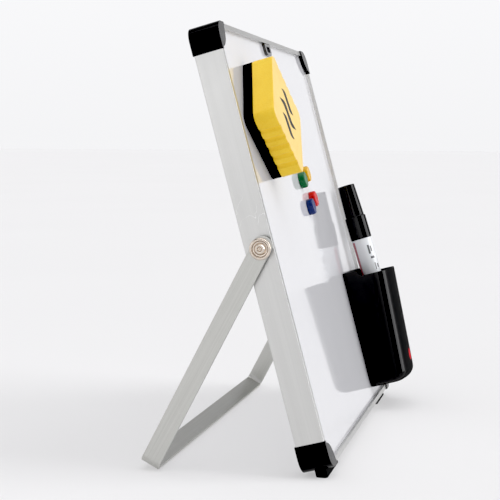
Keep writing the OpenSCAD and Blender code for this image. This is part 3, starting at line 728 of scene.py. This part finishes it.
def yellow_foam(place_matrix, face_height, half):
    """Closed-cell foam with open cells where it was cut, and the print on its face."""
    material, tree, shader = new_material("printed yellow foam", {"Roughness": 0.62, "Sheen Weight": 0.1})
    place = object_place(tree)
    cells = add_node(tree, "TexVoronoi", {"Vector": place, "Scale": 1500.0}, feature="SMOOTH_F1")
    broad = add_node(tree, "TexNoise", {"Vector": place, "Scale": 70.0, "Detail": 3.0})
    pores = rescale(tree, cells.outputs["Distance"], 0.1, 0.5, 0.0, 1.0)
    tone = rescale(tree, broad.outputs["Fac"], 0.3, 0.7, 0.0, 1.0)
    side = blend_colours(tree, tone, (0.90, 0.57, 0.022), (0.99, 0.66, 0.040))
    side = blend_colours(tree, calculate(tree, "MULTIPLY", pores, 0.25), side, (1.0, 0.78, 0.12))
    across, along, out = own_axes(tree, place, place_matrix)
    on_face = rescale(tree, out, face_height - 0.5 * MM, face_height - 0.2 * MM, 0.0, 1.0)
    ink = None
    for offset, length in STROKES:
        wave = calculate(tree, "SINE", calculate(tree, "MULTIPLY", along, math.tau / (half * STROKE_WAVE)))
        line = calculate(tree, "MULTIPLY_ADD", wave, half * STROKE_SWING, offset * half)
        gap = calculate(tree, "ABSOLUTE", calculate(tree, "SUBTRACT", across, line))
        end = calculate(tree, "ABSOLUTE", calculate(tree, "DIVIDE", along, length * half))
        width = calculate(tree, "MULTIPLY", rescale(tree, end, 0.3, 1.0, 1.0, 0.0), STROKE_WIDTH)
        stroke = calculate(tree, "LESS_THAN", gap, width)
        ink = calculate(tree, "MAXIMUM", ink, stroke) if ink else stroke
    face = blend_colours(tree, tone, (0.88, 0.60, 0.17), (0.91, 0.65, 0.21))
    face = blend_colours(tree, calculate(tree, "MULTIPLY", pores, 0.2), face, (0.96, 0.76, 0.32))
    face = blend_colours(tree, ink, face, (0.008, 0.008, 0.009))
    set_surface(tree, shader, blend_colours(tree, on_face, side, face), pores, 0.05 * MM)
    return material


felt_low, felt_high = box_in(board_place, "eraser_felt")
eraser_middle = (felt_low + felt_high) / 2
eraser_place = (
    board_place
    @ Matrix.Translation((eraser_middle.x, felt_high.y, eraser_middle.z))
    @ Matrix.Rotation(math.pi / 2, 4, "X")
    @ Matrix.Rotation(math.pi / 4, 4, "Z")
)
felt_low, felt_high = box_in(eraser_place, "eraser_felt")
grip_low, grip_high = box_in(eraser_place, "eraser_grip")
eraser_side = felt_high.x - felt_low.x
felt_outline = slab_outline(eraser_side - 2 * FELT_INSET, 0)
felt_shape = slab(felt_outline, felt_low.z, felt_high.z - GLUE_GAP, FELT_EDGE_R, FELT_WAVER, FELT_SEED)
felt = add_piece("eraser_felt_finished", felt_shape, eraser_place, "eraser", "felt", black_felt(),
                 "eraser_felt")
finish_mesh(felt)
grip_outline = slab_outline(eraser_side, GROOVE_COUNT)
grip_shape = slab(grip_outline, grip_low.z, grip_high.z, FOAM_EDGE_R, FOAM_WAVER, FOAM_SEED)
foam = yellow_foam(eraser_place, grip_high.z, eraser_side / 2)
grip = add_piece("eraser_grip_finished", grip_shape, eraser_place, "eraser", "foam", foam, "eraser_grip")
finish_mesh(grip)


def sintered_ferrite():
    """Grey-black ferrite, pressed and fired, with a dull metallic look."""
    material, tree, shader = new_material("sintered ferrite", {"Roughness": 0.55, "Metallic": 0.3})
    grain = use_group(tree, MOULDED_GRAIN, {"Place": object_place(tree), "Grain Scale": 900.0})
    colour = blend_colours(tree, grain["Grain"], (0.035, 0.035, 0.04), (0.09, 0.09, 0.1))
    set_surface(tree, shader, colour, grain["Grain"], 0.02 * MM)
    return material


ferrite = sintered_ferrite()
dress(ferrite, "eraser_magnet")

# Button magnets: four round plastic caps, each moulded in its own colour over a ferrite disc.
# Each has a soft edge, a slightly dished top and a glossy skin.
BUTTON_COLOURS = {
    "green": (0.0, 0.135, 0.035),
    "yellow": (0.74, 0.42, 0.010),
    "red": (0.62, 0.008, 0.008),
    "blue": (0.003, 0.022, 0.15),
}
BUTTON_POCKET_R = 3.65 * MM
BUTTON_POCKET_DEPTH = 2.15 * MM
BUTTON_FOOT_IN = 0.15 * MM
BUTTON_TOP_IN = 0.25 * MM
BUTTON_DISH = 0.2 * MM
BUTTON_DISH_EDGE = 0.12 * MM


def button_cap(radius, height):
    """Button along z, from its open back up: a pocket for the disc, a rounded wall and a dished top."""
    return revolve(fillet([
        (0, BUTTON_POCKET_DEPTH, 0),
        (BUTTON_POCKET_R, BUTTON_POCKET_DEPTH, 0.1 * MM),
        (BUTTON_POCKET_R, 0, 0.1 * MM),
        (radius - BUTTON_FOOT_IN, 0, 0.25 * MM),
        (radius, height * 0.4, 0.6 * MM),
        (radius - BUTTON_TOP_IN, height, 0.9 * MM),
        (radius * 0.55, height - BUTTON_DISH_EDGE, 1.2 * MM),
        (0, height - BUTTON_DISH, 0),
    ], 6))


for colour_name, colour in BUTTON_COLOURS.items():
    node = "button_" + colour_name
    low, high = box_in(board_place, node)
    place = board_place @ Matrix.Translation(((low.x + high.x) / 2, high.y, (low.z + high.z) / 2))
    place = place @ Matrix.Rotation(math.pi / 2, 4, "X")
    paler = [min(1, channel * 1.4 + 0.03) for channel in colour]
    plastic = moulded_plastic(colour_name + " button plastic", colour, paler, 0.3, grain_depth=0.003 * MM)
    shape = button_cap((high.x - low.x) / 2, high.y - low.y)
    finish_mesh(add_piece(node + "_finished", shape, place, node, node, plastic, node))
    dress(ferrite, "disc_" + colour_name)

# Pen holder: a glossy black moulding with thin walls, a bulged front, a low rim and a raised back.
# Two magnets are pressed into pockets in its thick back wall.
HOLDER_TURN = math.radians(2)
HOLDER_RIM = 77.7 * MM
HOLDER_RAISED_DEPTH = 10.5 * MM
HOLDER_TAPER = 1.2 * MM
HOLDER_FLARE = 4 * MM
HOLDER_BULGE = 1.8 * MM
HOLDER_LOW_R = 6.5 * MM
HOLDER_CORNER_R = 8 * MM
HOLDER_WALL = 2 * MM
HOLDER_BACK_WALL = 5.8 * MM
HOLDER_FLOOR = 2.6 * MM
HOLDER_EDGE = 0.5 * MM
HOLDER_FLOOR_BEVEL = 1.5 * MM
HOLDER_REAR_R = 2 * MM
HOLDER_INNER_REAR_R = 1 * MM
HOLDER_LEAST_R = 1 * MM
HOLDER_STEP_ROUND = 0.7
REAR_STEPS = 6
SIDE_STEPS = 12
CORNER_STEPS = 10
FRONT_STEPS = 24
BACK_STEPS = 8
FOOT_STEPS = 8
WALL_STEPS = 14
HOLDER_FACE_RINGS = (0.05, 0.5, 0.85)
turned_place = board_place @ Matrix.Rotation(HOLDER_TURN, 4, "Y")
holder_low, holder_high = box_in(turned_place, "pen_holder")
holder_foot = ((holder_low.x + holder_high.x) / 2, holder_high.y, holder_low.z)
holder_place = turned_place @ Matrix.Translation(holder_foot)
holder_half = (holder_high.x - holder_low.x) / 2
holder_rim_depth = holder_high.y - holder_low.y - HOLDER_BULGE
holder_top = holder_high.z - holder_low.z


def holder_outline(height, inset, wall, back):
    """Closed outline of the holder at a height: x across, y out from the board, both in metres."""
    share = 1 - min(height, HOLDER_RIM) / HOLDER_RIM
    half = holder_half - HOLDER_TAPER * share - inset - wall
    corner = holder_rim_depth - HOLDER_FLARE * share - inset - wall
    radius = max(HOLDER_CORNER_R - (inset + wall) / 2, HOLDER_LEAST_R)
    rear = HOLDER_INNER_REAR_R if wall else HOLDER_REAR_R
    side = []
    for step in range(REAR_STEPS + 1):
        angle = math.pi / 2 * step / REAR_STEPS
        side.append((half - rear + rear * math.sin(angle), back + rear - rear * math.cos(angle)))
    for step in range(1, SIDE_STEPS):
        side.append((half, back + rear + (corner - radius - back - rear) * step / SIDE_STEPS))
    for step in range(CORNER_STEPS + 1):
        angle = math.pi / 2 * step / CORNER_STEPS
        side.append((half - radius + radius * math.cos(angle), corner - radius + radius * math.sin(angle)))
    front = []
    for step in range(1, FRONT_STEPS):
        run = 1 - step / (FRONT_STEPS / 2)
        front.append(((half - radius) * run, corner + HOLDER_BULGE * (1 - run * run)))
    behind = [((half - rear) * (step / (BACK_STEPS / 2) - 1), back) for step in range(1, BACK_STEPS)]
    return [Vector(point) for point in side + front + [(-x, y) for x, y in reversed(side)] + behind]


def rim_height(depth):
    """Height of the rim at a depth in front of the board: raised at the back, with a round step down."""
    raised = holder_top - HOLDER_RIM
    radius = raised * HOLDER_STEP_ROUND
    if depth < HOLDER_RAISED_DEPTH - radius:
        return holder_top
    if depth < HOLDER_RAISED_DEPTH:
        return holder_top - radius + math.sqrt(radius**2 - (depth - HOLDER_RAISED_DEPTH + radius) ** 2)
    if depth < HOLDER_RAISED_DEPTH + radius:
        return HOLDER_RIM + radius - math.sqrt(radius**2 - (HOLDER_RAISED_DEPTH + radius - depth) ** 2)
    return HOLDER_RIM


def holder_shell():
    """The holder as one closed skin: up its outside, over the rim, down the inside and over the floor."""
    shape = bmesh.new()
    rings = []

    def add_ring(outline, height_of):
        rings.append([shape.verts.new((point.x, -point.y, height_of(point.y))) for point in outline])

    def shrunk(outline, share):
        middle = Vector((0, (outline[0].y + outline[len(outline) // 2].y) / 2))
        return [middle + (point - middle) * share for point in outline]

    def wall_rings(start, wall, back):
        """Rings from a start height up to just under the rim, in the order from low to high."""
        found = []
        for step in range(WALL_STEPS + 1):
            outline = holder_outline(start + (HOLDER_RIM - start) * step / WALL_STEPS, 0, wall, back)

            def height_of(depth, step=step):
                return start + (rim_height(depth) - HOLDER_EDGE - start) * step / WALL_STEPS

            found.append((outline, height_of))
        return found

    def add_rim(inset, drop, wall, back):
        """Ring at the rim, set in and dropped by shares of the rim's rounded edge."""
        add_ring(holder_outline(HOLDER_RIM, inset * HOLDER_EDGE, wall, back + inset * HOLDER_EDGE),
                 lambda depth: rim_height(depth) - drop * HOLDER_EDGE)

    foot = holder_outline(0, HOLDER_LOW_R, 0, 0)
    for share in HOLDER_FACE_RINGS:
        add_ring(shrunk(foot, share), lambda depth: 0)
    for step in range(FOOT_STEPS + 1):
        angle = math.pi / 2 * step / FOOT_STEPS
        height = HOLDER_LOW_R * (1 - math.cos(angle))
        add_ring(holder_outline(height, HOLDER_LOW_R * (1 - math.sin(angle)), 0, 0),
                 lambda depth, height=height: height)
    for outline, height_of in wall_rings(HOLDER_LOW_R, 0, 0)[1:]:
        add_ring(outline, height_of)
    add_rim(0.3, 0.3, 0, 0)
    add_rim(1, 0, 0, 0)
    add_rim(-1, 0, HOLDER_WALL, HOLDER_BACK_WALL)
    add_rim(-0.3, 0.3, HOLDER_WALL, HOLDER_BACK_WALL)
    floor_start = HOLDER_FLOOR + HOLDER_FLOOR_BEVEL
    for outline, height_of in reversed(wall_rings(floor_start, HOLDER_WALL, HOLDER_BACK_WALL)):
        add_ring(outline, height_of)
    floor = holder_outline(HOLDER_FLOOR, HOLDER_FLOOR_BEVEL, HOLDER_WALL, HOLDER_BACK_WALL)
    for share in (1, *reversed(HOLDER_FACE_RINGS)):
        add_ring(shrunk(floor, share), lambda depth: HOLDER_FLOOR)
    skin(shape, rings)
    return shape


SPOT_R = 4.0 * MM
SPOT_SOFT = 0.2 * MM
SPOT_ACROSS = 1 * MM
SPOT_HEIGHT = 15 * MM


def holder_plastic():
    """Black gloss plastic, dull where it is seen along its skin, with a red printed spot low in front."""
    material, tree, shader = new_material("black gloss holder", {
        "Specular IOR Level": BLACK_SPECULAR * 2.4,
    })
    place = object_place(tree)
    grain = use_group(tree, MOULDED_GRAIN, {"Place": place, "Grain Scale": 700.0})
    marks = marks_on(tree, place, 40.0, 80.0)
    spot_depth = -holder_rim_depth + HOLDER_FLARE * 0.8 - HOLDER_BULGE
    spot_at = holder_place @ Vector((SPOT_ACROSS, spot_depth, SPOT_HEIGHT))
    away = add_node(tree, "VectorMath", {0: place, 1: spot_at}, operation="DISTANCE").outputs["Value"]
    spot = rescale(tree, away, SPOT_R, SPOT_R + SPOT_SOFT, 1.0, 0.0)
    worn = calculate(tree, "MAXIMUM", calculate(tree, "MULTIPLY", grain["Worn"], 0.4), marks["Scratch"])
    black = blend_colours(tree, worn, DEEP_BLACK, (0.02, 0.02, 0.021))
    colour = blend_colours(tree, spot, black, (0.60, 0.02, 0.03))
    facing = add_node(tree, "LayerWeight", {"Blend": 0.5}).outputs["Facing"]
    rough = rescale(tree, facing, 0.45, 0.65, 0.12, 0.9)
    rough = calculate(tree, "MULTIPLY_ADD", marks["Smudge"], 0.06, rough)
    set_surface(tree, shader, colour, grain["Grain"], 0.004 * MM, rough)
    return material


gloss_black = holder_plastic()
holder = add_piece("pen_holder_finished", holder_shell(), holder_place, "holder", "holder", gloss_black,
                   "pen_holder")
finish_mesh(holder)
dress(ferrite, "holder_magnets")

# Marker: a white barrel with a printed label, closed by a black plug, collar and fibre nib.
# It stands in the holder beside the right wall, and leans a little.
marker_lean = math.asin(Vector(joints["marker_lift"]["axis"]).dot(holder_place.col[1].xyz))
marker_place = holder_place @ Matrix.Rotation(-marker_lean, 4, "X")
plug_low, plug_high = box_in(marker_place, "marker_end_plug")
marker_foot = Vector(((plug_low.x + plug_high.x) / 2, (plug_low.y + plug_high.y) / 2, plug_low.z))
marker_place = marker_place @ Matrix.Translation(marker_foot)
barrel_low, barrel_high = box_in(marker_place, "marker_barrel")
cap_low, cap_high = box_in(marker_place, "marker_cap")
BARREL_FOOT_BORE_R = 5 * MM
BARREL_BORE_R = 4.95 * MM
BARREL_FOOT_BORE_DEPTH = 9 * MM
NECK_IN = 1 * MM
CAP_GAP = 0.05 * MM
PLUG_EDGE_R = 0.2 * MM
COLLAR_EDGE_R = 0.15 * MM
LABEL_FOOT = 20 * MM
LABEL_HEAD = 1.5 * MM
RULE_FROM = 14.4 * MM
RULE_TO = 17.4 * MM
BLOCKS = (
    # distance below the shoulder, length, place round the barrel and width, in mm
    (5.5, 6.5, -19.1, 1.5),
    (6.5, 4.0, -17.0, 1.2),
    (14, 1.6, -18.6, 3.2),
    (19, 5.0, -17.0, 0.9),
    (20, 3.0, -15.0, 1.6),
    (27, 9, -17.4, 1.4),
)
barrel_r = barrel_high.x
neck_r = barrel_r - NECK_IN
shoulder = cap_low.z - CAP_GAP


def printed_barrel():
    """White plastic with a red rule and plain dark blocks, in place of a label."""
    material, tree, shader = new_material("printed white barrel", {
        "Coat Weight": 0.25, "Coat Roughness": 0.1,
    })
    place = object_place(tree)
    across, depth, height = own_axes(tree, place, marker_place)
    run = calculate(tree, "MULTIPLY", calculate(tree, "ARCTAN2", depth, across), barrel_r)
    marks = marks_on(tree, place, 80.0, 100.0)
    colour = blend_colours(tree, marks["Smudge"], (0.90, 0.92, 0.94), (0.87, 0.89, 0.91))

    def band(value, low, high):
        """1 where a value is between two limits, and 0 elsewhere."""
        return calculate(tree, "MULTIPLY", calculate(tree, "GREATER_THAN", value, low),
                         calculate(tree, "LESS_THAN", value, high))

    label = band(height, LABEL_FOOT, shoulder - LABEL_HEAD)
    rule = calculate(tree, "MULTIPLY", band(run, RULE_FROM, RULE_TO), label)
    colour = blend_colours(tree, calculate(tree, "MULTIPLY", rule, 0.75), colour, (0.55, 0.02, 0.06))
    blocks = None
    for drop, length, left, width in BLOCKS:
        high = shoulder - drop * MM
        block = calculate(tree, "MULTIPLY", band(height, high - length * MM, high),
                          band(run, left * MM, (left + width) * MM))
        blocks = calculate(tree, "MAXIMUM", blocks, block) if blocks else block
    colour = blend_colours(tree, calculate(tree, "MULTIPLY", blocks, 0.85), colour, (0.02, 0.02, 0.022))
    tree.links.new(colour, shader.inputs["Base Color"])
    rough = calculate(tree, "MULTIPLY_ADD", marks["Smudge"], 0.06, 0.2)
    tree.links.new(rough, shader.inputs["Roughness"])
    return material


def barrel_tube():
    """Barrel along z: a tube with a bore a little wider at its foot, and a neck for the cap."""
    shape = revolve(fillet([
        (BARREL_FOOT_BORE_R, barrel_low.z, 0),
        (barrel_r, barrel_low.z, 0.15 * MM),
        (barrel_r, shoulder, 0.3 * MM),
        (neck_r, shoulder, 0.1 * MM),
        (neck_r, barrel_high.z, 0.2 * MM),
        (BARREL_BORE_R, barrel_high.z, 0.1 * MM),
        (BARREL_BORE_R, barrel_low.z + BARREL_FOOT_BORE_DEPTH, 0),
    ]))
    close_bore(shape)
    return shape


barrel_white = printed_barrel()
barrel = add_piece("marker_barrel_finished", barrel_tube(), marker_place, "marker", "barrel", barrel_white,
                   "marker_barrel")
finish_mesh(barrel)
marker_black = moulded_plastic("black marker plastic", DEEP_BLACK, WORN_BLACK, 0.16, BLACK_SPECULAR * 2.8)
soften("marker_end_plug", PLUG_EDGE_R, "marker_black", marker_black)
soften("marker_collar", COLLAR_EDGE_R, "marker_black", marker_black)


def ink_fibre():
    """Bundled fibres, black with ink."""
    material, tree, shader = new_material("ink-soaked fibre", {"Roughness": 0.85})
    fibres = lines_on(tree, object_place(tree), (1.0, 0.3, 0.1), 2500.0)
    colour = blend_colours(tree, fibres["Lines"], (0.006, 0.006, 0.007), (0.03, 0.03, 0.034))
    set_surface(tree, shader, colour, fibres["Lines"], 0.03 * MM)
    return material


dress(ink_fibre(), "marker_reservoir", "marker_nib")

# Marker cap: a black push-on cap with a wide skirt, a step and a tapered top with a shallow dish.
# A pale seal inside it closes round the nib.
CAP_FIT = 0.1 * MM
CAP_SKIRT = 16.3 * MM
CAP_STEP = 16.9 * MM
CAP_STEP_R = 6.8 * MM
CAP_TOP_R = 6.05 * MM
CAP_DISH_R = 4.6 * MM
CAP_DISH_FLOOR_R = 4.4 * MM
CAP_DISH = 0.6 * MM
CAP_ROOF = 1.6 * MM
CAP_BORE_R = 4.85 * MM
CAP_BORE_FROM = 16.4 * MM
CAP_BORE_STEP = 14 * MM
CAP_MOUTH_OUT = 0.2 * MM
CAP_MOUTH_UP = 0.4 * MM


def cap_shell():
    """Cap along z, from its roof down the inside, round the mouth and up the outside to its dished top."""
    foot, top, skirt_r = cap_low.z, cap_high.z, cap_high.x
    return revolve(fillet([
        (0, top - CAP_ROOF, 0),
        (CAP_BORE_R, top - CAP_ROOF, 0),
        (CAP_BORE_R, foot + CAP_BORE_FROM, 0),
        (neck_r + CAP_FIT, foot + CAP_BORE_STEP, 0),
        (neck_r + CAP_FIT, foot, 0.1 * MM),
        (skirt_r - CAP_MOUTH_OUT, foot, 0.15 * MM),
        (skirt_r, foot + CAP_MOUTH_UP, 0.3 * MM),
        (skirt_r, foot + CAP_SKIRT, 0.4 * MM),
        (CAP_STEP_R, foot + CAP_STEP, 0.25 * MM),
        (CAP_TOP_R, top, 0.5 * MM),
        (CAP_DISH_R, top, 0.3 * MM),
        (CAP_DISH_FLOOR_R, top - CAP_DISH, 0.2 * MM),
        (0, top - CAP_DISH, 0),
    ], 5))


cap = add_piece("marker_cap_finished", cap_shell(), marker_place, "cap", "marker_black", marker_black,
                "marker_cap")
finish_mesh(cap)
seal_plastic = moulded_plastic("natural seal plastic", (0.62, 0.62, 0.60), (0.75, 0.75, 0.74), 0.45)
dress(seal_plastic, "cap_seal")

# Stage: a white table under soft studio light, and the camera low on the left, as in the photograph.
# The light comes from far panels round the object. The camera sees a plain pale backdrop in their place.
# The table is lit a little from within as well, and the darkest tones are pulled down to black.
FLOOR_HALF = 40
BACKDROP = (0.925, 0.965)
BLACK_LEVEL = 0.022
BACKDROP_FADE = (0.5, 8.0)
TABLE_GLOW = 0.432
PANEL_SOFT = 5
PANELS = (
    # bearing from +x towards +y, half width, lowest and highest elevation in degrees, and brightness
    (14, 31, -5, 20, 1.0),
    (14, 31, 20, 50, 0.3),
    (85, 40, -5, 45, 1.0),
    (170, 42, 0, 14, 1.7),
    (170, 42, 28, 55, 0.9),
    (-85, 63, -5, 60, 0.25),
    (0, 180, 60, 90, 1.8),
    (-80, 19, 0, 70, 3.5),
)


def pale_floor():
    """Matt white table top with a broad, faint cloud, lit a little from within."""
    material, tree, shader = new_material("white table", {
        "Roughness": 0.6, "Specular IOR Level": 0.0,
        "Emission Color": (0.995, 0.99, 1.0, 1), "Emission Strength": TABLE_GLOW,
    })
    cloud = add_node(tree, "TexNoise", {"Vector": object_place(tree), "Scale": 1.5, "Detail": 2.0})
    colour = blend_colours(tree, cloud.outputs["Fac"], (0.41, 0.408, 0.41), (0.43, 0.428, 0.43))
    tree.links.new(colour, shader.inputs["Base Color"])
    return material


table = bmesh.new()
bmesh.ops.create_grid(table, x_segments=4, y_segments=4, size=FLOOR_HALF)
floor_mesh = bpy.data.meshes.new("table")
table.to_mesh(floor_mesh)
table.free()
floor_mesh.materials.append(pale_floor())
floor = bpy.data.objects.new("table", floor_mesh)
bpy.context.scene.collection.objects.link(floor)

world = bpy.data.worlds.new("studio")
world.use_nodes = True
tree = world.node_tree
direction = add_node(tree, "TexCoord").outputs["Generated"]
towards = add_node(tree, "SeparateXYZ", {"Vector": direction}).outputs
bearing_of = calculate(tree, "ARCTAN2", towards["Y"], towards["X"])
bearing_of = calculate(tree, "MULTIPLY", bearing_of, math.degrees(1))
elevation_of = calculate(tree, "MULTIPLY", calculate(tree, "ARCSINE", towards["Z"]), math.degrees(1))


def light_panel(bearing, half, low, high):
    """Where the sky is inside a panel with soft edges: 1 inside, 0 outside."""
    away = calculate(tree, "WRAP", calculate(tree, "SUBTRACT", bearing_of, bearing), 180.0, -180.0)
    soft = min(PANEL_SOFT, half / 2) / 2
    inside = 1.0
    if half < 180:
        inside = rescale(tree, calculate(tree, "ABSOLUTE", away), half - soft, half + soft, 1.0, 0.0)
    above = rescale(tree, elevation_of, low - soft, low + soft, 0.0, 1.0)
    below = rescale(tree, elevation_of, high - soft, high + soft, 1.0, 0.0) if high < 90 else 1.0
    return calculate(tree, "MULTIPLY", inside, calculate(tree, "MULTIPLY", above, below))


light = 0.0
for bearing, half, low, high, brightness in PANELS:
    light = calculate(tree, "MULTIPLY_ADD", light_panel(bearing, half, low, high), brightness, light)
seen = add_node(tree, "LightPath").outputs["Is Camera Ray"]
backdrop = rescale(tree, elevation_of, *BACKDROP_FADE, *BACKDROP)
light = add_node(tree, "Mix", {"Factor": seen, 2: light, 3: backdrop}).outputs[0]
tree.links.new(light, tree.nodes["Background"].inputs["Strength"])
tree.nodes["Background"].inputs["Color"].default_value = (0.985, 0.985, 1.0, 1)
bpy.context.scene.world = world

CAMERA_FOCAL = 1258.45
CAMERA_FRAME = 500
CAMERA_SENSOR = 36
CAMERA_YAW = -76.6245
CAMERA_PITCH = -4.7821
CAMERA_ROLL = 0.2705
CAMERA_FROM_BACK_EDGE = Vector((-797.05, -128.87, 183.83)) * MM
rail_low, rail_high = box_in(board_place, "rail_bottom")
back_edge = board_place @ Vector((0, rail_high.y, rail_low.z))
camera = bpy.data.cameras.new("camera")
camera.sensor_width = CAMERA_SENSOR
camera.lens = CAMERA_SENSOR * CAMERA_FOCAL / CAMERA_FRAME
viewer = bpy.data.objects.new("camera", camera)
viewer.matrix_world = (
    Matrix.Translation(CAMERA_FROM_BACK_EDGE + Vector((0, back_edge.y, 0)))
    @ Matrix.Rotation(math.radians(CAMERA_YAW), 4, "Z")
    @ Matrix.Rotation(math.radians(90 + CAMERA_PITCH), 4, "X")
    @ Matrix.Rotation(math.radians(CAMERA_ROLL), 4, "Z")
)
bpy.context.scene.collection.objects.link(viewer)
bpy.context.scene.camera = viewer
view = bpy.context.scene.view_settings
view.view_transform = "Standard"
view.use_curve_mapping = True
view.curve_mapping.black_level = [BLACK_LEVEL] * 3
view.curve_mapping.update()
